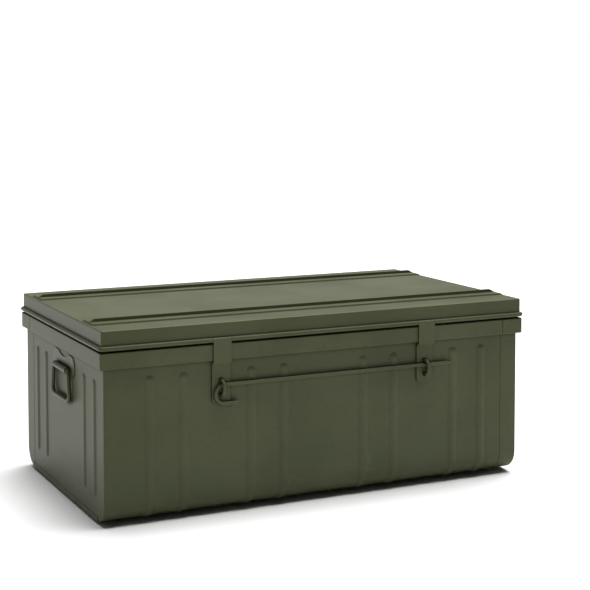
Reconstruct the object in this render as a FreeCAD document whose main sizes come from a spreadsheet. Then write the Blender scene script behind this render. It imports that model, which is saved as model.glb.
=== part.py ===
# Steel trunk: pressed sheet body with a collar, lid with a wire-rolled rim, two strap hasps locked by one
# rod, two bail handles. Lengths are in millimetres, angles in degrees. X runs along the trunk, -Y is the
# front, Z is up, and the origin is on the floor under the middle of the outline seen from above.
import FreeCAD
import Part
import math
import os
import re
import Sketcher

doc = FreeCAD.newDocument("steel_trunk")

SIZES = {
    # outside of the body walls, and the top of the lid
    "body_length": 800.0,
    "body_depth": 457.0,
    "lid_top": 327.5,
    "wall_sheet": 0.8,
    "bend_radius": 36.0,
    "corner_radius": 3.0,
    "flange_reach": 10.0,
    # lap seams between the two wall sheets
    "front_seam": 36.0,
    "end_seam": 48.0,
    "seam_gap": 1.0,
    "lap_width": 12.0,
    # bottom pan and the two runners under it
    "pan_flange": 8.0,
    "flange_round": 3.0,
    "runner_height": 5.0,
    "runner_width": 34.0,
    "runner_slope": 4.0,
    "runner_inset": 12.0,
    "runner_share": 0.444,
    # lid, its ridges, and the wire in its rolled rim
    "lid_offset": 5.0,
    "lid_corner": 3.0,
    "lid_edge_round": 2.2,
    "lid_rest_gap": 0.3,
    "ridge_share": 0.665,
    "ridge_foot": 57.0,
    "ridge_step": 51.0,
    "ridge_rib": 9.0,
    "ridge_crest": 5.0,
    "ridge_foot_rise": 3.0,
    "ridge_rise": 8.0,
    "ridge_ramp": 4.0,
    "ridge_end": 13.0,
    "rim_drop": 28.9,
    "rim_offset": 6.5,
    "rim_corner": 5.3,
    "wire_radius": 2.5,
    "wire_play": 0.05,
    "roll_radius": 4.0,
    # collar pressed out round the top of the walls, and the neck inside the lid
    "collar_clear": 6.6,
    "collar_height": 28.0,
    "collar_proud": 8.0,
    "collar_corner": 4.0,
    "collar_round": 2.0,
    "neck_inset": 2.0,
    "neck_corner": 3.0,
    # stiffening beads pressed out of the walls
    "bead_width": 18.0,
    "bead_height": 2.4,
    "bead_margin": 16.0,
    "bead_wrap": 58.0,
    "bead_near_share": 0.0958,
    "bead_second_share": 0.1733,
    "bead_third_share": 0.3268,
    "bead_far_share": 0.4014,
    "end_bead_foot": 38.2,
    "end_bead_margin": 24.0,
    "end_bead_near_share": 0.2444,
    "end_bead_far_share": 0.3644,
    # each end's beads and handle stand this far towards the bend of its sheet, clear of the lap
    "end_shift": 12.0,
    # straps that hang on the wire: hasps in front, hinge leaves behind
    "strap_share": 0.2475,
    "hasp_shift": 3.0,
    "strap_sheet": 1.5,
    "strap_side_play": 0.6,
    "strap_top_play": 0.85,
    "strap_margin": 2.0,
    "hasp_width": 32.5,
    "hasp_plate_gap": 1.5,
    "hasp_plate": 72.0,
    "hasp_chamfer": 5.0,
    "slot_width": 9.5,
    "slot_length": 34.0,
    "slot_margin": 10.5,
    "leaf_width": 44.0,
    "leaf_plate": 56.0,
    "leaf_chamfer": 6.0,
    # rivets in the hinge leaves
    "rivet_shank": 1.9,
    "rivet_head": 4.2,
    "rivet_crown": 2.6,
    "rivet_rise": 1.6,
    "rivet_margin": 11.0,
    "rivet_pitch": 21.0,
    # staples, their plates inside the front wall, and the rod through them
    "staple_radius": 2.5,
    "staple_bow": 12.5,
    "staple_reach": 5.55,
    "hole_play": 0.05,
    "back_plate_width": 24.0,
    "back_plate_height": 46.0,
    "staple_head": 4.0,
    "staple_head_rise": 1.4,
    "rod_radius": 3.0,
    "rod_lift": 4.5,
    "rod_seat_gap": 0.3,
    "rod_tip_reach": 42.0,
    "rod_tip_taper": 12.0,
    "rod_tip_radius": 0.8,
    "rod_hook_bow": 16.0,
    "rod_hook_inset": 5.0,
    "rod_hook_tail": 24.0,
    "rod_tail_round": 1.2,
    # carrying handles
    "bracket_sheet": 1.5,
    "bracket_width": 126.0,
    "bracket_margin": 8.0,
    "bracket_height": 29.3,
    "bracket_lobe": 19.0,
    "bracket_dip": 7.3,
    "bracket_dip_radius": 66.0,
    "sleeve_length": 72.0,
    "bail_radius": 3.6,
    "bail_play": 0.3,
    "bail_rise": 3.8,
    "bail_drop": 53.0,
    "bail_top_half": 42.0,
    "bail_foot_half": 51.0,
    "bail_top_bend": 6.0,
    "bail_foot_bend": 13.0,
    # every cutting tool runs past the metal by this much
    "overrun": 4.0,
}

# lengths that follow from the ones above
DERIVED = {
    "half_length": "body_length / 2",
    "half_depth": "body_depth / 2",
    "reach": "body_length",
    "pan_low": "runner_height",
    "wall_low": "runner_height + wall_sheet",
    "bend_centre_y": "half_depth - bend_radius",
    "bend_centre_z": "wall_low + bend_radius",
    "flange_edge_x": "half_length - corner_radius - flange_reach",
    "flange_edge_y": "half_depth - bend_radius - flange_reach",
    "lid_under": "lid_top - wall_sheet",
    "neck_top": "lid_under - lid_rest_gap",
    "rim_level": "lid_top - rim_drop",
    "rim_half_x": "half_length + rim_offset",
    "rim_half_y": "half_depth + rim_offset",
    "wire_bore": "wire_radius + wire_play",
    "collar_high": "rim_level - collar_clear",
    "collar_low": "collar_high - collar_height",
    "runner_y": "body_depth * runner_share / 2",
    "ridge_y": "body_depth * ridge_share / 2",
    "seam_x": "half_length - front_seam",
    "seam_y": "half_depth - end_seam",
    "lap_low": "bend_centre_z + lap_width / 2",
    "lap_high": "collar_low - lap_width / 2",
    "bead_near": "body_length * bead_near_share",
    "bead_second": "body_length * bead_second_share",
    "bead_third": "body_length * bead_third_share",
    "bead_far": "body_length * bead_far_share",
    "end_bead_near": "body_depth * end_bead_near_share",
    "end_bead_far": "body_depth * end_bead_far_share",
    "bead_round": "(bead_width ^ 2 / 4 + bead_height ^ 2) / (2 * bead_height)",
    "bead_sink": "bead_round - bead_height",
    "bead_bow": "bend_radius - bead_sink",
    "bead_end": "collar_low - bead_margin - bead_width / 2",
    "end_bead_start": "wall_low + end_bead_foot + bead_width / 2",
    "end_bead_stop": "collar_low - end_bead_margin - bead_width / 2",
    "strap_x": "body_length * strap_share",
    "hasp_left_x": "hasp_shift - strap_x",
    "hasp_right_x": "hasp_shift + strap_x",
    "strap_loop": "wire_bore + strap_sheet",
    "strap_back": "rim_offset + wire_bore",
    "strap_front": "strap_back + strap_sheet",
    "strap_fold": "collar_low - strap_margin",
    "fold_rise": "strap_sheet * tan(22.5)",
    "hasp_bottom": "strap_fold - hasp_plate",
    "slot_low": "hasp_bottom + slot_margin",
    "slot_high": "slot_low + slot_length",
    "leaf_bottom": "strap_fold - leaf_plate",
    "rivet_low": "leaf_bottom + rivet_margin",
    "rivet_high": "rivet_low + rivet_pitch",
    "staple_level": "(slot_low + slot_high) / 2",
    "staple_y": "half_depth + staple_reach",
    "back_plate_face": "half_depth - wall_sheet - strap_sheet",
    "rod_y": "half_depth + hasp_plate_gap + strap_sheet + rod_seat_gap + rod_radius",
    "rod_level": "staple_level + rod_lift",
    "rod_start": "hasp_left_x + rod_hook_inset",
    "rod_end": "hasp_right_x + rod_tip_reach",
    "bracket_high": "collar_low - bracket_margin",
    "bracket_low": "bracket_high - bracket_height",
    "lobe_centre": "bracket_width / 2 - bracket_lobe",
    "lobe_level": "bracket_high - bracket_lobe",
    "bail_level": "bracket_low + bail_rise",
    "sleeve_bore": "bail_radius + bail_play",
    "sleeve_radius": "sleeve_bore + bracket_sheet",
    "bail_x": "half_length + sleeve_radius + bracket_sheet / 2",
    # the staples stand out further than the hinge loops, so the outline's middle is off the body's
    "outline_shift": "(staple_reach + staple_bow + staple_radius - rim_offset - strap_loop) / 2",
}

sizes = doc.addObject("Spreadsheet::Sheet", "Sizes")
for row, (alias, value) in enumerate({**SIZES, **DERIVED}.items(), 1):
    sizes.set(f"A{row}", alias)
    sizes.set(f"B{row}", f"={value}" if alias in DERIVED else str(value))
    sizes.setAlias(f"B{row}", alias)
doc.recompute()


def bound(text):
    """The expression with every alias read from the sheet."""
    return re.sub(r"[a-z_]+", lambda word: "Sizes." + word[0] if word[0] in NAMES else word[0], str(text))


def amount(text):
    """The present value of an expression."""
    return float(sizes.evalExpression(bound(text)))


NAMES = set(SIZES) | set(DERIVED)
RIGHT = FreeCAD.Vector(1, 0, 0)
BACK = FreeCAD.Vector(0, 1, 0)
UP = FreeCAD.Vector(0, 0, 1)
NO_TURN = FreeCAD.Rotation()
HALF_TURN = FreeCAD.Rotation(UP, 180)
ALONG = {"x": FreeCAD.Rotation(BACK, 90), "y": FreeCAD.Rotation(RIGHT, -90), "z": NO_TURN}


def placed(item, turn, x, y, z):
    item.Placement.Rotation = turn
    for letter, value in zip("xyz", (x, y, z)):
        item.setExpression(f"Placement.Base.{letter}", bound(value))
    return item


def solid(kind, name, turn, centre, **dimensions):
    item = doc.addObject(kind, name)
    for prop, value in dimensions.items():
        item.setExpression(prop, bound(value))
    return placed(item, turn, *centre)


def block(name, x, y, z):
    spans = [f"({high}) - ({low})" for low, high in (x, y, z)]
    corner = (x[0], y[0], z[0])
    return solid("Part::Box", name, NO_TURN, corner, Length=spans[0], Width=spans[1], Height=spans[2])


def bar(name, axis, start, length, radius):
    return solid("Part::Cylinder", name, ALONG[axis], start, Radius=radius, Height=length)


def dome(name, turn, centre, radius):
    return solid("Part::Sphere", name, turn, centre, Radius=radius, Angle1=0, Angle2=90)


def bow(name, turn, centre, bend, radius, sweep):
    return solid("Part::Torus", name, turn, centre, Radius1=bend, Radius2=radius, Angle3=sweep)


def fuse(name, items):
    item = doc.addObject("Part::MultiFuse", name)
    item.Shapes = items
    return item


def cut(name, base, *tools):
    item = doc.addObject("Part::Cut", name)
    item.Base = base
    item.Tool = tools[0] if len(tools) == 1 else fuse(name + "_tools", list(tools))
    return item


def common(name, *items):
    item = doc.addObject("Part::MultiCommon", name)
    item.Shapes = list(items)
    return item


def dressed(kind, name, base, radius, test):
    """Fillet or chamfer on the edges of base that pass the test."""
    doc.recompute()
    width = amount(radius)
    item = doc.addObject(kind, name)
    item.Base = base
    item.Edges = [(i, width, width) for i, edge in enumerate(base.Shape.Edges, 1) if test(edge.BoundBox)]
    return item


def upright(box):
    return box.XLength < TINY and box.YLength < TINY


def level(box):
    return box.ZLength < TINY


TINY = 0.001


def rounded_block(name, half_x, half_y, z, corner):
    plain = block(name + "_block", (f"-({half_x})", half_x), (f"-({half_y})", half_y), z)
    return dressed("Part::Fillet", name, plain, corner, upright)


def wall_hull(name, inset):
    """Trough of the walls: front and rear turn under in a wide bend, the end outlines in a small one."""
    half_x = f"half_length - {inset}"
    half_y = f"half_depth - {inset}"
    low = f"wall_low + {inset}"
    high = f"collar_high - {inset}"
    plain = block(name + "_block", (f"-({half_x})", half_x), (f"-({half_y})", half_y), (low, high))
    floor = amount(low)
    roof = amount(high)
    bent = dressed("Part::Fillet", name + "_bent", plain, f"bend_radius - {inset}",
                   lambda box: box.XLength > TINY and box.ZMax < floor + TINY)
    return dressed("Part::Fillet", name, bent, f"corner_radius - {inset}",
                   lambda box: box.XLength < TINY and box.ZMin < roof - TINY)


def collar_hull(name, inset):
    band = rounded_block(name + "_band", f"half_length + collar_proud - {inset}",
                         f"half_depth + collar_proud - {inset}",
                         (f"collar_low + {inset}", f"collar_high - {inset}"),
                         f"collar_corner - {inset}")
    return dressed("Part::Fillet", name, band, f"collar_round - {inset}", level)


def wall_beads(name, inset):
    """Beads pressed out of all four walls; those in front and behind run down over the bend."""
    radius = f"bead_round - {inset}"
    pieces = []
    for side, tag in ((-1, "front"), (1, "rear")):
        outward = FreeCAD.Vector(0, side, 0)
        bend_turn = FreeCAD.Rotation(outward, -UP, outward.cross(-UP), "XYZ")
        wrap = math.radians(amount("bead_wrap"))
        tail = outward * -math.sin(wrap) - UP * math.cos(wrap)
        tail_turn = FreeCAD.Rotation(UP, tail)
        wall_y = f"{side} * (half_depth - bead_sink)"
        bend_y = f"{side} * bend_centre_y"
        tail_y = f"{side} * (bend_centre_y + bead_bow * cos(bead_wrap))"
        tail_z = "bend_centre_z - bead_bow * sin(bead_wrap)"
        for place in ("bead_near", "bead_second", "bead_third", "bead_far"):
            for sign in (-1, 1):
                x = f"{sign} * {place}"
                label = f"{name}_{tag}_{place}_{'left' if sign < 0 else 'right'}"
                pieces += [
                    bar(label, "z", (x, wall_y, "bend_centre_z"), "bead_end - bend_centre_z", radius),
                    dome(label + "_top", NO_TURN, (x, wall_y, "bead_end"), radius),
                    bow(label + "_bend", bend_turn, (x, bend_y, "bend_centre_z"), "bead_bow", radius,
                        "bead_wrap"),
                    dome(label + "_tail", tail_turn, (x, tail_y, tail_z), radius),
                ]
    under = FreeCAD.Rotation(RIGHT, 180)
    for side, tag in ((-1, "left"), (1, "right")):
        wall_x = f"{side} * (half_length - bead_sink)"
        for place in ("end_bead_near", "end_bead_far"):
            for sign in (-1, 1):
                y = f"{sign} * {place} + {side} * end_shift"
                label = f"{name}_{tag}_{place}_{'front' if sign < 0 else 'rear'}"
                pieces += [
                    bar(label, "z", (wall_x, y, "end_bead_start"), "end_bead_stop - end_bead_start", radius),
                    dome(label + "_top", NO_TURN, (wall_x, y, "end_bead_stop"), radius),
                    dome(label + "_foot", under, (wall_x, y, "end_bead_start"), radius),
                ]
    return pieces


# Walls: one pressed shell, then cut at the seams into its two sheets.
NECK = "half_length - neck_inset", "half_depth - neck_inset"
outside = fuse("wall_outside", [
    wall_hull("hull", "0"),
    collar_hull("collar", "0"),
    rounded_block("neck", NECK[0], NECK[1], ("collar_low", "neck_top"), "neck_corner"),
    *wall_beads("bead", "0"),
])
inside = fuse("wall_inside", [
    wall_hull("hull_space", "wall_sheet"),
    collar_hull("collar_space", "wall_sheet"),
    rounded_block("neck_space", NECK[0] + " - wall_sheet", NECK[1] + " - wall_sheet",
                  ("collar_low + collar_round", "neck_top + overrun"), "neck_corner - wall_sheet"),
    *wall_beads("bead_space", "wall_sheet"),
])
shell = cut("wall_shell", outside, inside)

EVERY = ("-reach", "reach")
FRONT_STRIP = ("-reach", "-flange_edge_y")
front_region = fuse("front_left_region", [
    block("front_region", ("-reach", "seam_x"), FRONT_STRIP, EVERY),
    block("left_region", ("-reach", "-flange_edge_x"), ("-reach", "seam_y"), EVERY),
])
rear_region = cut("rear_right_region", fuse("rear_right_strips", [
    block("rear_region", EVERY, ("flange_edge_y", "reach"), EVERY),
    block("right_region", ("flange_edge_x", "reach"), EVERY, EVERY),
    block("front_return", ("seam_x + seam_gap", "reach"), FRONT_STRIP, EVERY),
]), block("left_keep", ("-reach", "-flange_edge_x + seam_gap"), ("-reach", "seam_y + seam_gap"), EVERY))

SIDES = (("left", -1), ("right", 1))
staple_holes = []
rivet_holes = []
for side, sign in SIDES:
    for tag, leg in (("low", -1), ("high", 1)):
        spot = (f"hasp_{side}_x", "-half_depth - overrun", f"staple_level + {leg} * staple_bow")
        staple_holes.append(bar(f"staple_hole_{side}_{tag}", "y", spot, "3 * overrun",
                                "staple_radius + hole_play"))
    for row in ("rivet_low", "rivet_high"):
        spot = (f"{sign} * strap_x", "half_depth - 2 * overrun", row)
        rivet_holes.append(bar(f"{row}_hole_{side}", "y", spot, "3 * overrun", "rivet_shank + hole_play"))
staple_holes = fuse("staple_holes", staple_holes)
rivet_holes = fuse("rivet_holes", rivet_holes)

front_left = cut("wall_front_left", common("front_left_sheet", shell, front_region), staple_holes)
# the rear and right sheet reaches behind the other one at both seams
rear_right = cut("wall_rear_right", fuse("rear_right_lapped", [
    common("rear_right_sheet", shell, rear_region),
    block("front_lap", ("seam_x - lap_width", "seam_x + lap_width"),
          ("-half_depth + wall_sheet", "-half_depth + 2 * wall_sheet"), ("lap_low", "lap_high")),
    block("end_lap", ("-half_length + wall_sheet", "-half_length + 2 * wall_sheet"),
          ("seam_y - lap_width", "seam_y + lap_width"), ("lap_low", "lap_high")),
]), rivet_holes)

# Bottom pan: flat plate under the wall flanges, turned up outside both ends.
pan_pieces = [block("pan_plate", ("-half_length - wall_sheet", "half_length + wall_sheet"),
                    ("-bend_centre_y", "bend_centre_y"), ("pan_low", "wall_low"))]
for side, sign in SIDES:
    near = f"{sign} * (half_length + wall_sheet / 2) - wall_sheet / 2"
    flange = block(f"pan_flange_{side}", (near, near + " + wall_sheet"), ("-bend_centre_y", "bend_centre_y"),
                   ("pan_low", "pan_low + pan_flange"))
    top = amount("pan_low + pan_flange")
    pan_pieces.append(dressed("Part::Fillet", f"pan_flange_{side}_rounded", flange, "flange_round",
                              lambda box: box.YLength < TINY and level(box) and box.ZMin > top - TINY))
pan = fuse("bottom_pan", pan_pieces)


def frustum(name, turn, centre, half_x, half_y, top_half_x, top_half_y, rise):
    return solid("Part::Wedge", name, turn, centre, Ymin="0", Ymax=rise,
                 Xmin=f"-({half_x})", Xmax=half_x, Zmin=f"-({half_y})", Zmax=half_y,
                 X2min=f"-({top_half_x})", X2max=top_half_x, Z2min=f"-({top_half_y})", Z2max=top_half_y)


RISING = FreeCAD.Rotation(RIGHT, 90)
FALLING = FreeCAD.Rotation(RIGHT, -90)


def runner(name, sign):
    """Pressed channel with sloping sides, open upward against the pan."""
    half_x = "half_length - runner_inset"
    half_y = "runner_width / 2"
    y = f"{sign} * runner_y"
    outer = frustum(name + "_outer", FALLING, ("0", y, "pan_low"), half_x, half_y,
                    f"{half_x} - runner_slope", f"{half_y} - runner_slope", "runner_height")
    inner = frustum(name + "_inner", FALLING, ("0", y, "pan_low"),
                    f"{half_x} - wall_sheet", f"{half_y} - wall_sheet",
                    f"{half_x} - runner_slope - wall_sheet", f"{half_y} - runner_slope - wall_sheet",
                    "runner_height - wall_sheet")
    return cut(name, outer, inner)


runners = [runner("runner_front", -1), runner("runner_rear", 1)]


def rim_ring(name, radius):
    """Closed ring along the rim: four straights and four corners."""
    pieces = []
    for sign, tag in ((-1, "near"), (1, "far")):
        start = ("-rim_half_x + rim_corner", f"{sign} * rim_half_y", "rim_level")
        pieces.append(bar(f"{name}_long_{tag}", "x", start, "2 * (rim_half_x - rim_corner)", radius))
        start = (f"{sign} * rim_half_x", "-rim_half_y + rim_corner", "rim_level")
        pieces.append(bar(f"{name}_short_{tag}", "y", start, "2 * (rim_half_y - rim_corner)", radius))
    for quarter, (side_x, side_y) in enumerate(((1, 1), (-1, 1), (-1, -1), (1, -1))):
        turn = FreeCAD.Rotation(UP, 90 * quarter)
        centre = (f"{side_x} * (rim_half_x - rim_corner)", f"{side_y} * (rim_half_y - rim_corner)",
                  "rim_level")
        pieces.append(bow(f"{name}_corner_{quarter + 1}", turn, centre, "rim_corner", radius, "90"))
    return fuse(name, pieces)


def ridge(name, sign, inset):
    """Ridge along the lid: a low platform with a narrow steep rib on its middle, ramped at both ends."""
    half_x = f"half_length + lid_offset - lid_edge_round - {inset}"
    y = f"{sign} * ridge_y"
    foot = frustum(name + "_foot", RISING, ("0", y, f"lid_top - {inset}"),
                   half_x, f"ridge_foot / 2 - {inset}",
                   f"{half_x} - ridge_ramp", f"ridge_step / 2 - {inset}", "ridge_foot_rise")
    rib = frustum(name + "_rib", RISING, ("0", y, f"lid_top + ridge_foot_rise - {inset}"),
                  f"{half_x} - ridge_ramp", f"ridge_rib / 2 - {inset}",
                  f"{half_x} - ridge_end", f"ridge_crest / 2 - {inset}", "ridge_rise - ridge_foot_rise")
    return [foot, rib]


# Lid: shallow pressed cover, its rim rolled round the wire and cut away where the straps hang on it.
LID = "half_length + lid_offset", "half_depth + lid_offset"
lid_plain = rounded_block("lid_cover", LID[0], LID[1], ("rim_level + wire_bore", "lid_top"), "lid_corner")
lid_roof = amount("lid_top")
lid_outside = fuse("lid_outside", [
    dressed("Part::Fillet", "lid_cover_rounded", lid_plain, "lid_edge_round",
            lambda box: box.ZMin > lid_roof - TINY),
    *ridge("ridge_front", -1, "0"),
    *ridge("ridge_rear", 1, "0"),
])
lid_space = fuse("lid_space", [
    rounded_block("lid_hollow", LID[0] + " - wall_sheet", LID[1] + " - wall_sheet",
                  ("rim_level - overrun", "lid_under"), "lid_corner - wall_sheet"),
    *ridge("ridge_front_space", -1, "wall_sheet"),
    *ridge("ridge_rear_space", 1, "wall_sheet"),
])
lid_tools = [rim_ring("rim_bore", "wire_bore")]
for side, sign in SIDES:
    for tag, facing, middle, width in (("hasp", -1, f"hasp_{side}_x", "hasp_width"),
                                       ("leaf", 1, f"{sign} * strap_x", "leaf_width")):
        half = f"({width} / 2 + strap_side_play)"
        near = "half_depth + rim_offset - roll_radius - overrun / 4"
        far = "half_depth + rim_offset + roll_radius + overrun"
        span = (near, far) if facing > 0 else (f"-({far})", f"-({near})")
        height = ("rim_level - roll_radius - overrun", "rim_level + strap_loop + strap_top_play")
        across = (f"{middle} - {half}", f"{middle} + {half}")
        lid_tools.append(block(f"{tag}_gap_{side}", across, span, height))
lid_sheet = cut("lid_sheet", lid_outside, lid_space)
lid = cut("lid_shell", fuse("lid_rolled", [lid_sheet, rim_ring("rim_roll", "roll_radius")]), *lid_tools)
wire = rim_ring("rim_wire", "wire_radius")


def strap_outline(name, plate_gap, bottom, width):
    """Strap seen from its side, at the rear of the trunk: straight over the collar, folded in, flat below."""
    body = doc.addObject("PartDesign::Body", name)
    sketch = body.newObject("Sketcher::SketchObject", name + "_outline")
    plane = next(item for item in body.Origin.OriginFeatures if item.Role == "YZ_Plane")
    sketch.AttachmentSupport = [(plane, "")]
    sketch.MapMode = "FlatFace"
    drop = f"(strap_back - {plate_gap})"
    corners = [
        ("strap_back", "rim_level"),
        ("strap_front", "rim_level"),
        ("strap_front", "strap_fold"),
        (f"{plate_gap} + strap_sheet", f"strap_fold - {drop}"),
        (f"{plate_gap} + strap_sheet", bottom),
        (plate_gap, bottom),
        (plate_gap, f"strap_fold - {drop} + fold_rise"),
        ("strap_back", "strap_fold + fold_rise"),
    ]
    points = [FreeCAD.Vector(amount(f"half_depth + {out}"), amount(height), 0) for out, height in corners]
    for number, point in enumerate(points):
        sketch.addGeometry(Part.LineSegment(point, points[(number + 1) % len(points)]))
    for number, point in enumerate(points):
        sketch.addConstraint(Sketcher.Constraint("Coincident", number, 2, (number + 1) % len(points), 1))
    for number, (out, height) in enumerate(corners):
        across = sketch.addConstraint(Sketcher.Constraint("DistanceX", -1, 1, number, 1, points[number].x))
        rise = sketch.addConstraint(Sketcher.Constraint("DistanceY", -1, 1, number, 1, points[number].y))
        sketch.setExpression(f"Constraints[{across}]", bound(f"half_depth + {out}"))
        sketch.setExpression(f"Constraints[{rise}]", bound(height))
    pad = body.newObject("PartDesign::Pad", name + "_pad")
    pad.Profile = sketch
    pad.SideType = "Symmetric"
    pad.setExpression("Length", bound(width))
    return body


def strap(name, plate_gap, bottom, width, chamfer):
    """Strap with its loop, at x = 0 behind the trunk."""
    start = (f"-{width} / 2", "rim_half_y", "rim_level")
    looped = fuse(name + "_looped", [
        strap_outline(name + "_side", plate_gap, bottom, width),
        bar(name + "_loop", "x", start, width, "strap_loop"),
    ])
    bore_start = (f"-{width} / 2 - overrun", "rim_half_y", "rim_level")
    bore = bar(name + "_bore", "x", bore_start, f"{width} + 2 * overrun", "wire_bore")
    bored = cut(name + "_bored", looped, bore)
    floor = amount(bottom)
    return dressed("Part::Chamfer", name + "_blank", bored, chamfer,
                   lambda box: box.XLength < TINY and box.ZMax < floor + TINY)


def rivet_cap(name, turn, centre):
    return solid("Part::Cone", name, turn, centre,
                 Radius1="rivet_head", Radius2="rivet_crown", Height="rivet_rise")


hasps = []
leaves = []
leaf_rivets = []
staples = []
back_plates = []
for side, sign in SIDES:
    # hasp: slot that goes over the staple, then turned round to the front
    half_slot = "slot_width / 2"
    slot = [block(f"slot_{side}", (f"-{half_slot}", half_slot),
                  ("half_depth - overrun", "half_depth + 2 * overrun"),
                  (f"slot_low + {half_slot}", f"slot_high - {half_slot}"))]
    for tag, height in (("low", f"slot_low + {half_slot}"), ("high", f"slot_high - {half_slot}")):
        start = ("0", "half_depth - overrun", height)
        slot.append(bar(f"slot_{side}_{tag}", "y", start, "3 * overrun", half_slot))
    blank = strap(f"hasp_{side}", "hasp_plate_gap", "hasp_bottom", "hasp_width", "hasp_chamfer")
    hasp = cut(f"hasp_{side}", blank, *slot)
    hasps.append(placed(hasp, HALF_TURN, f"hasp_{side}_x", "0", "0"))

    # hinge leaf: same strap, flat on the rear wall and riveted there
    blank = strap(f"leaf_{side}", "0", "leaf_bottom", "leaf_width", "leaf_chamfer")
    x = f"{sign} * strap_x"
    blank = placed(blank, NO_TURN, x, "0", "0")
    leaves.append(cut(f"hinge_leaf_{side}", blank, rivet_holes))
    rivets = []
    for row in ("rivet_low", "rivet_high"):
        label = f"{row}_{side}"
        rivets += [
            bar(label, "y", (x, "half_depth - wall_sheet", row), "wall_sheet + strap_sheet", "rivet_shank"),
            rivet_cap(label + "_head", ALONG["y"], (x, "half_depth + strap_sheet", row)),
            rivet_cap(label + "_tail", RISING, (x, "half_depth - wall_sheet", row)),
        ]
    leaf_rivets.append(fuse(f"hinge_rivets_{side}", rivets))

    # staple: bow of wire through the front wall, headed over a plate inside
    x = f"hasp_{side}_x"
    face = "-back_plate_face"
    bow_turn = FreeCAD.Rotation(-UP, -BACK, -RIGHT, "XYZ")
    centre = (x, "-staple_y", "staple_level")
    pieces = [bow(f"staple_{side}_bow", bow_turn, centre, "staple_bow", "staple_radius", "180")]
    for tag, leg in (("low", -1), ("high", 1)):
        height = f"staple_level + {leg} * staple_bow"
        pieces.append(bar(f"staple_{side}_{tag}", "y", (x, "-staple_y", height), "staple_y - back_plate_face",
                          "staple_radius"))
        pieces.append(solid("Part::Cone", f"staple_{side}_{tag}_head", ALONG["y"], (x, face, height),
                            Radius1="staple_head", Radius2="staple_radius", Height="staple_head_rise"))
    staples.append(fuse(f"staple_{side}", pieces))
    plate = block(f"staple_plate_{side}_blank",
                  (f"{x} - back_plate_width / 2", f"{x} + back_plate_width / 2"),
                  ("-half_depth + wall_sheet", face),
                  ("staple_level - back_plate_height / 2", "staple_level + back_plate_height / 2"))
    back_plates.append(cut(f"staple_plate_{side}", plate, staple_holes))

# Lock rod: straight through both staples with a tapered tip, bent back into a hook at its left end.
ROD_LINE = "-rod_y", "rod_level"
rod = fuse("lock_rod", [
    bar("rod_bar", "x", ("rod_start", *ROD_LINE), "rod_end - rod_start", "rod_radius"),
    solid("Part::Cone", "rod_tip", ALONG["x"], ("rod_end", *ROD_LINE), Radius1="rod_radius",
          Radius2="rod_tip_radius", Height="rod_tip_taper"),
])
hook_turn = FreeCAD.Rotation(UP, -RIGHT, -BACK, "XYZ")
hook_centre = ("rod_start", "-rod_y", "rod_level - rod_hook_bow")
tail_start = ("rod_start", "-rod_y", "rod_level - 2 * rod_hook_bow")
tail_middle = amount("rod_start + rod_hook_tail / 2")
hook = fuse("lock_rod_hook", [
    bow("hook_bow", hook_turn, hook_centre, "rod_hook_bow", "rod_radius", "180"),
    dressed("Part::Fillet", "hook_tail", bar("hook_tail_bar", "x", tail_start, "rod_hook_tail", "rod_radius"),
            "rod_tail_round", lambda box: box.XLength < TINY and box.XMin > tail_middle),
])


def bracket(name, sign):
    """Plate with a two-lobed top, curled at its foot into a sleeve for the bail."""
    wall = f"{sign} * half_length"
    face = f"{sign} * (half_length + bracket_sheet)"

    def layer(label, y, z):
        near = f"{sign} * (half_length + bracket_sheet / 2) - bracket_sheet / 2"
        return block(f"{name}_{label}", (near, f"{near} + bracket_sheet"), y, z)

    half = "bracket_width / 2"
    pieces = [
        layer("plate", (f"-{half}", half), ("bracket_low", "lobe_level")),
        layer("crown", ("-lobe_centre", "lobe_centre"), ("lobe_level", "bracket_high")),
    ]
    start = wall if sign > 0 else face
    for tag, spot in (("front", "-lobe_centre"), ("rear", "lobe_centre")):
        pieces.append(bar(f"{name}_lobe_{tag}", "x", (start, spot, "lobe_level"), "bracket_sheet",
                          "bracket_lobe"))
    spot = (f"{sign} * (half_length + bracket_sheet / 2) - overrun", "0",
            "bracket_high - bracket_dip + bracket_dip_radius")
    dip = bar(f"{name}_dip", "x", spot, "2 * overrun", "bracket_dip_radius")
    plate = cut(name + "_lobed", fuse(name + "_flat", pieces), dip)
    spot = (f"{sign} * bail_x", "-sleeve_length / 2", "bail_level")
    sleeve = bar(name + "_sleeve", "y", spot, "sleeve_length", "sleeve_radius")
    curled = fuse(name + "_curled", [plate, sleeve])
    spot = (f"{sign} * bail_x", "-sleeve_length / 2 - overrun", "bail_level")
    return cut(name, curled, bar(name + "_bore", "y", spot, "sleeve_length + 2 * overrun", "sleeve_bore"))


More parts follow.
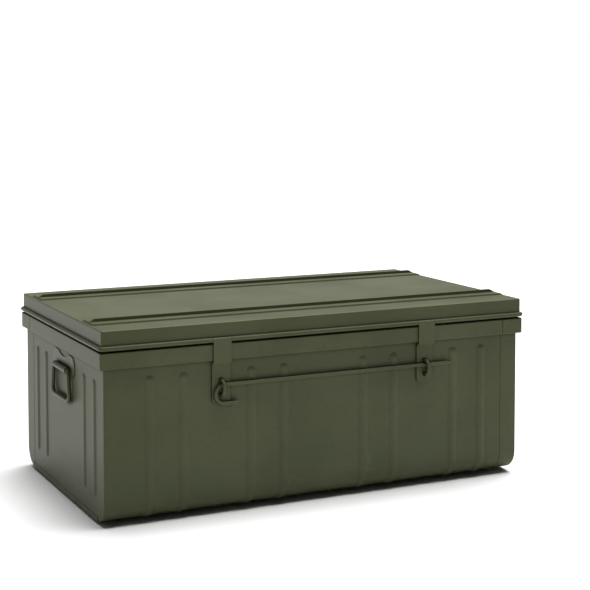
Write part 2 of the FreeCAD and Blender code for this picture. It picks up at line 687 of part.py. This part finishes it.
def bail(name, sign):
    """Closed loop of round bar, wider at the grip than in the sleeve, hanging straight down."""
    across = amount("bail_top_half")
    spread = amount("bail_foot_half")
    drop = amount("bail_drop")
    flat = [(-across, 0), (-spread, -drop), (spread, -drop), (across, 0)]
    top_bend = amount("bail_top_bend")
    foot_bend = amount("bail_foot_bend")
    bends = [top_bend, foot_bend, foot_bend, top_bend]
    corners = [FreeCAD.Vector(0, y, z) for y, z in flat]
    edges = []
    last = start = FreeCAD.Vector(0, 0, 0)
    for number, corner in enumerate(corners):
        back = (corners[number - 1] - corner).normalize() if number else (start - corner).normalize()
        ahead = ((corners + [start])[number + 1] - corner).normalize()
        half_angle = back.getAngle(ahead) / 2
        run = bends[number] / math.tan(half_angle)
        middle = corner + (back + ahead).normalize() * (bends[number] / math.sin(half_angle) - bends[number])
        edges.append(Part.LineSegment(last, corner + back * run).toShape())
        edges.append(Part.Arc(corner + back * run, middle, corner + ahead * run).toShape())
        last = corner + ahead * run
    edges.append(Part.LineSegment(last, start).toShape())
    profile = Part.Wire(Part.makeCircle(amount("bail_radius"), start, BACK))
    item = doc.addObject("Part::Feature", name)
    item.Shape = Part.Wire(edges).makePipeShell([profile], True, False)
    return placed(item, NO_TURN, f"{sign} * bail_x", "0", "bail_level")


brackets = [bracket(f"handle_bracket_{side}", sign) for side, sign in SIDES]
bails = [bail(f"handle_bail_{side}", sign) for side, sign in SIDES]

nodes = [front_left, rear_right, pan, *runners, lid, wire, *hasps, *leaves, *leaf_rivets, *staples,
         *back_plates, rod, hook, *brackets, *bails]
for node in nodes:
    node.setExpression("Placement.Base.y", bound("outline_shift"))
for pair in (brackets, bails):
    for handle_piece, (_, sign) in zip(pair, SIDES):
        handle_piece.setExpression("Placement.Base.y", bound(f"outline_shift + {sign} * end_shift"))

doc.recompute()
for item in doc.Objects:
    if "Invalid" in item.State or "Error" in item.State:
        raise RuntimeError(f"{item.Label} did not compute: {item.State}")

os.makedirs("parts", exist_ok=True)
for node in nodes:
    if node.Shape.isNull() or not node.Shape.isValid():
        raise RuntimeError(f"{node.Label} has no valid shape")
    node.Shape.exportStep(f"parts/{node.Label}.step")
    print(node.Label, len(node.Shape.Solids), round(node.Shape.Volume))
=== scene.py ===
import bpy
import math
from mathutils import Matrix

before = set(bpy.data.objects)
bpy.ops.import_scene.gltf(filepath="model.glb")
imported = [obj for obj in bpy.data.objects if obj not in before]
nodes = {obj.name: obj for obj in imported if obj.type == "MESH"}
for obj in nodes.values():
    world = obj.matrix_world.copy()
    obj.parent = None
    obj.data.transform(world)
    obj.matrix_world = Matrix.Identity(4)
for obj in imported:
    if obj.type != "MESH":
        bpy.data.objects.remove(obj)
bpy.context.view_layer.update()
print("trunk: frame loaded,", len(nodes), "CAD nodes")


class PaintWire:
    # one output of a finish's node tree; sums of outputs are written as plain expressions
    def __init__(self, tree, socket=None):
        self.tree = tree
        self.socket = socket

    def node(self, kind, settings, inputs, out=0):
        made = self.tree.nodes.new(kind)
        for name, value in settings.items():
            setattr(made, name, value)
        for name, value in inputs.items():
            if isinstance(value, PaintWire):
                self.tree.links.new(value.socket, made.inputs[name])
            else:
                made.inputs[name].default_value = value
        return PaintWire(self.tree, made.outputs[out])

    def maths(self, operation, first, second):
        return self.node("ShaderNodeMath", {"operation": operation}, {0: first, 1: second})

    def __add__(self, other):
        return self.maths("ADD", self, other)

    def __radd__(self, other):
        return self.maths("ADD", other, self)

    def __sub__(self, other):
        return self.maths("SUBTRACT", self, other)

    def __rsub__(self, other):
        return self.maths("SUBTRACT", other, self)

    def __mul__(self, other):
        return self.maths("MULTIPLY", self, other)

    def __rmul__(self, other):
        return self.maths("MULTIPLY", other, self)

    # 0 below low, 1 above high, eased between
    def step(self, low, high):
        return self.node("ShaderNodeMapRange", {"interpolation_type": "SMOOTHSTEP"},
                         {"Value": self, "From Min": low, "From Max": high})

    def noise(self, scale, detail=2.0, stretch=(1, 1, 1), rough=0.5):
        place = self.node("ShaderNodeMapping", {}, {"Vector": self, "Scale": stretch})
        return self.node("ShaderNodeTexNoise", {}, {"Vector": place, "Scale": scale, "Detail": detail,
                                                    "Roughness": rough})

    def blend(self, factor, colour):
        return self.node("ShaderNodeMix", {"data_type": "RGBA"}, {0: factor, 6: self, 7: colour}, 2)


# satin olive paint over sheet steel; lengths in metres
bodyPaint = {"base": (0.066, 0.075, 0.033), "pale": (0.080, 0.090, 0.043), "deep": (0.052, 0.060, 0.025),
             "rubbed": (0.120, 0.128, 0.080), "dustAndLightColour": (0.170, 0.168, 0.135), "dirt": (0.036, 0.034, 0.022),
             "nookShadeColour": (0.012, 0.012, 0.008), "foot": (0.026, 0.029, 0.010),
             "roughness": 0.43, "specular": 0.20, "waviness": 0.00045, "peel": 0.000012, "rub": 0.35,
             "dustAndTopLightAmount": 0.10, "dirty": 0.06, "nookShade": 0.50, "nook": 0.015, "ridgeShading": 0.0}
# the lid's paint is a little darker than the body's, as painted shade on the lid's front and ends; more dust
# and painted light on its top makes up for it there
shadedLidPaint = dict(bodyPaint, base=(0.060, 0.069, 0.027), pale=(0.073, 0.083, 0.037), dustAndTopLightAmount=0.21, rub=0.40,
                waviness=0.00050, roughness=0.42, dirty=0.0, ridgeShading=0.70)
fittingPaint = dict(bodyPaint, waviness=0.0, peel=0.000010, rub=0.60, dustAndTopLightAmount=0.05, roughness=0.40, dirty=0.0)
wirePaint = dict(fittingPaint, rub=0.70, roughness=0.38)
runnerPaint = dict(bodyPaint, base=(0.042, 0.046, 0.024), rub=0.55, dirty=0.6, waviness=0.0)
# where the marks lie: heights from the floor and depths from the middle in metres, noise in spots per metre
marks = {"cloudScale": 7.0, "mottleScale": 85.0, "speckScale": 420.0, "scuffScale": 16.0, "peelScale": 650.0,
         "waveScale": 4.5, "edgeRadius": 0.0022, "dustLightFront": -0.22, "dustLightBack": 0.10, "nookShadeFrom": 0.02,
         "nookShadeFull": 0.06, "dirtTop": 0.07, "lidTop": 0.3276, "ridgeSide": 0.3284}


def olivePaint(name, look):
    finish = bpy.data.materials.new(name)
    finish.use_nodes = True
    tree = finish.node_tree
    shader = tree.nodes["Principled BSDF"]
    start = PaintWire(tree)
    place = start.node("ShaderNodeTexCoord", {}, {}, "Object")
    facing = start.node("ShaderNodeTexCoord", {}, {}, "Normal")
    depth = start.node("ShaderNodeSeparateXYZ", {}, {0: place}, 1)
    height = start.node("ShaderNodeSeparateXYZ", {}, {0: place}, 2)
    upward = start.node("ShaderNodeSeparateXYZ", {}, {0: facing}, 2)

    cloud = place.noise(marks["cloudScale"], 3.0)
    mottle = place.noise(marks["mottleScale"], 2.0)
    speck = place.noise(marks["speckScale"], 1.0)
    scuff = place.noise(marks["scuffScale"], 4.0, (1.0, 1.0, 5.0), 0.7).step(0.60, 0.72)
    # rounding the normal over a hair's breadth finds the edges that hands and straps rub
    softened = start.node("ShaderNodeBevel", {"samples": 6}, {"Radius": marks["edgeRadius"]})
    flat = start.node("ShaderNodeNewGeometry", {}, {}, "Normal")
    alike = start.node("ShaderNodeVectorMath", {"operation": "DOT_PRODUCT"}, {0: softened, 1: flat}, "Value")
    edge = 1 - alike
    rub = edge.step(0.01, 0.16) * mottle.step(0.38, 0.62) * look["rub"] + scuff * (0.12 * look["rub"])
    # dust lies thicker towards the back, in faint clouds; on upward faces it is also painted light,
    # lightening the tops as the overhead light does
    layer = 0.60 + cloud.step(0.30, 0.70) * 0.40
    layer = layer * (0.6 + depth.step(marks["dustLightFront"], marks["dustLightBack"]) * 0.4)
    dustAndTopLight = upward.step(0.5, 0.95) * layer * look["dustAndTopLightAmount"]
    # painted shade in narrow places, darker where the paint is closed in by nearby parts; dirt near the floor
    clear = start.node("ShaderNodeAmbientOcclusion", {"samples": 8}, {"Distance": look["nook"]}, "AO")
    nookShade = (1 - clear).step(0.10, 0.42) * height.step(marks["nookShadeFrom"], marks["nookShadeFull"]) * look["nookShade"]
    low = (1 - height.step(0.0, marks["dirtTop"])) * mottle.step(0.30, 0.65) * look["dirty"]
    # painted shade on the steep sides of the lid's ridges
    ridgeShade = 1 - upward.step(0.80, 0.97)
    ridgeShade = ridgeShade * height.step(marks["lidTop"], marks["ridgeSide"]) * look["ridgeShading"]

    colour = start.node("ShaderNodeMix", {"data_type": "RGBA"},
                        {0: cloud.step(0.34, 0.66), 6: (*look["base"], 1), 7: (*look["pale"], 1)}, 2)
    colour = colour.blend(mottle.step(0.50, 0.78) * 0.35, (*look["deep"], 1))
    colour = colour.blend(dustAndTopLight, (*look["dustAndLightColour"], 1))
    colour = colour.blend(low, (*look["dirt"], 1))
    colour = colour.blend(ridgeShade, (*look["foot"], 1))
    colour = colour.blend(nookShade, (*look["nookShadeColour"], 1))
    colour = colour.blend(rub, (*look["rubbed"], 1))
    tree.links.new(colour.socket, shader.inputs["Base Color"])

    gloss = look["roughness"] + (cloud - 0.5) * 0.10 + (speck - 0.5) * 0.06
    gloss = gloss + dustAndTopLight * 0.5 + low * 0.3 - rub * 0.10 + (ridgeShade + nookShade) * 0.6
    tree.links.new(gloss.socket, shader.inputs["Roughness"])

    relief = place.noise(marks["peelScale"], 1.0) * look["peel"] + mottle * (look["peel"] * 1.5)
    if look["waviness"]:
        relief = relief + place.noise(marks["waveScale"], 1.0) * look["waviness"]
    bump = start.node("ShaderNodeBump", {}, {"Height": relief, "Distance": 1.0, "Strength": 1.0})
    tree.links.new(bump.socket, shader.inputs["Normal"])
    shader.inputs["Specular IOR Level"].default_value = look["specular"]
    return finish


finishes = {
    "body": olivePaint("bodyPaint", bodyPaint),
    "lid": olivePaint("shadedLidPaint", shadedLidPaint),
    "fitting": olivePaint("fittingPaint", fittingPaint),
    "wire": olivePaint("wirePaint", wirePaint),
    "runner": olivePaint("runnerPaint", runnerPaint),
}
worn = {
    "body": ("wall_front_left", "wall_rear_right", "bottom_pan"),
    "lid": ("lid_shell",),
    "fitting": ("hasp_left", "hasp_right", "hinge_leaf_left", "hinge_leaf_right", "hinge_rivets_left",
                "hinge_rivets_right", "staple_plate_left", "staple_plate_right", "handle_bracket_left",
                "handle_bracket_right"),
    "wire": ("rim_wire", "staple_left", "staple_right", "lock_rod", "lock_rod_hook", "handle_bail_left",
             "handle_bail_right"),
    "runner": ("runner_front", "runner_rear"),
}
for finishName, names in worn.items():
    for name in names:
        for slot in nodes[name].material_slots:
            slot.material = finishes[finishName]
print("trunk: paint on", sum(len(names) for names in worn.values()), "nodes")

# plain pale floor
floor = {"size": 40.0, "shade": 0.78, "seen": 0.91, "roughness": 0.85}
bpy.ops.object.select_all(action="DESELECT")
bpy.ops.mesh.primitive_plane_add(size=floor["size"], location=(0, 0, 0))
ground = bpy.context.object
ground.name = "studioFloor"
paper = bpy.data.materials.new("floorPaper")
paper.use_nodes = True
paperShader = paper.node_tree.nodes["Principled BSDF"]
paperStart = PaintWire(paper.node_tree)
# the picture is exposed for the trunk, so the floor is seen brighter than it lights the trunk
paperSeen = paperStart.node("ShaderNodeLightPath", {}, {}, "Is Camera Ray")
paperShade = paperStart.node("ShaderNodeMix", {"data_type": "RGBA"},
                             {0: paperSeen, 6: (*[floor["shade"]] * 3, 1), 7: (*[floor["seen"]] * 3, 1)}, 2)
paper.node_tree.links.new(paperShade.socket, paperShader.inputs["Base Color"])
paperShader.inputs["Roughness"].default_value = floor["roughness"]
paperShader.inputs["Specular IOR Level"].default_value = 0.0
ground.data.materials.append(paper)

# soft light: one wide sun overhead, a little behind and to the right, and a pale room brighter at the back
light = {"overhead": 5.15, "overheadAngle": 50.0, "overheadTilt": (-4.0, 14.0), "roomFront": 0.05,
         "roomBack": 0.38}
bpy.ops.object.light_add(type="SUN", location=(0, 0, 3))
sun = bpy.context.object
sun.name = "overheadLight"
sun.data.energy = light["overhead"]
sun.data.angle = math.radians(light["overheadAngle"])
sun.rotation_euler = (math.radians(light["overheadTilt"][0]), math.radians(light["overheadTilt"][1]), 0)

room = bpy.data.worlds.new("studioRoom")
bpy.context.scene.world = room
room.use_nodes = True
roomTree = room.node_tree
roomTree.nodes.clear()
roomStart = PaintWire(roomTree)
direction = roomStart.node("ShaderNodeTexCoord", {}, {}, "Generated")
behind = roomStart.node("ShaderNodeSeparateXYZ", {}, {0: direction}, 1).step(0.0, 0.7)
glow = behind * (light["roomBack"] - light["roomFront"]) + light["roomFront"]
soft = roomStart.node("ShaderNodeBackground", {}, {"Color": (1, 1, 1, 1), "Strength": glow})
white = roomStart.node("ShaderNodeBackground", {}, {"Color": (1, 1, 1, 1), "Strength": 1.0})
seen = roomStart.node("ShaderNodeLightPath", {}, {}, "Is Camera Ray")
shown = roomStart.node("ShaderNodeMixShader", {}, {0: seen, 1: soft, 2: white})
roomOut = roomTree.nodes.new("ShaderNodeOutputWorld")
roomTree.links.new(shown.socket, roomOut.inputs["Surface"])

# camera at the photograph's angle, for a square picture
view = {"focalPixels": 1454.945, "yaw": 25.8374, "pitch": 3.5, "distance": 2.729673, "aimX": 0.054611,
        "height": 0.734621, "levelRow": 167.0806, "side": 590, "middleY": 0.005}
bpy.ops.object.camera_add()
camera = bpy.context.object
camera.name = "photoCamera"
yaw = math.radians(view["yaw"])
camera.location = (view["aimX"] - math.sin(yaw) * view["distance"],
                   view["middleY"] - math.cos(yaw) * view["distance"], view["height"])
camera.rotation_euler = (math.radians(90 - view["pitch"]), 0, -yaw)
camera.data.sensor_width = 36
camera.data.lens = view["focalPixels"] / view["side"] * camera.data.sensor_width
camera.data.shift_y = (view["levelRow"] - view["side"] / 2) / view["side"]
camera.data.clip_end = 100
bpy.context.scene.camera = camera
bpy.context.scene.view_settings.view_transform = "Standard"
print("trunk: floor, light and camera set")
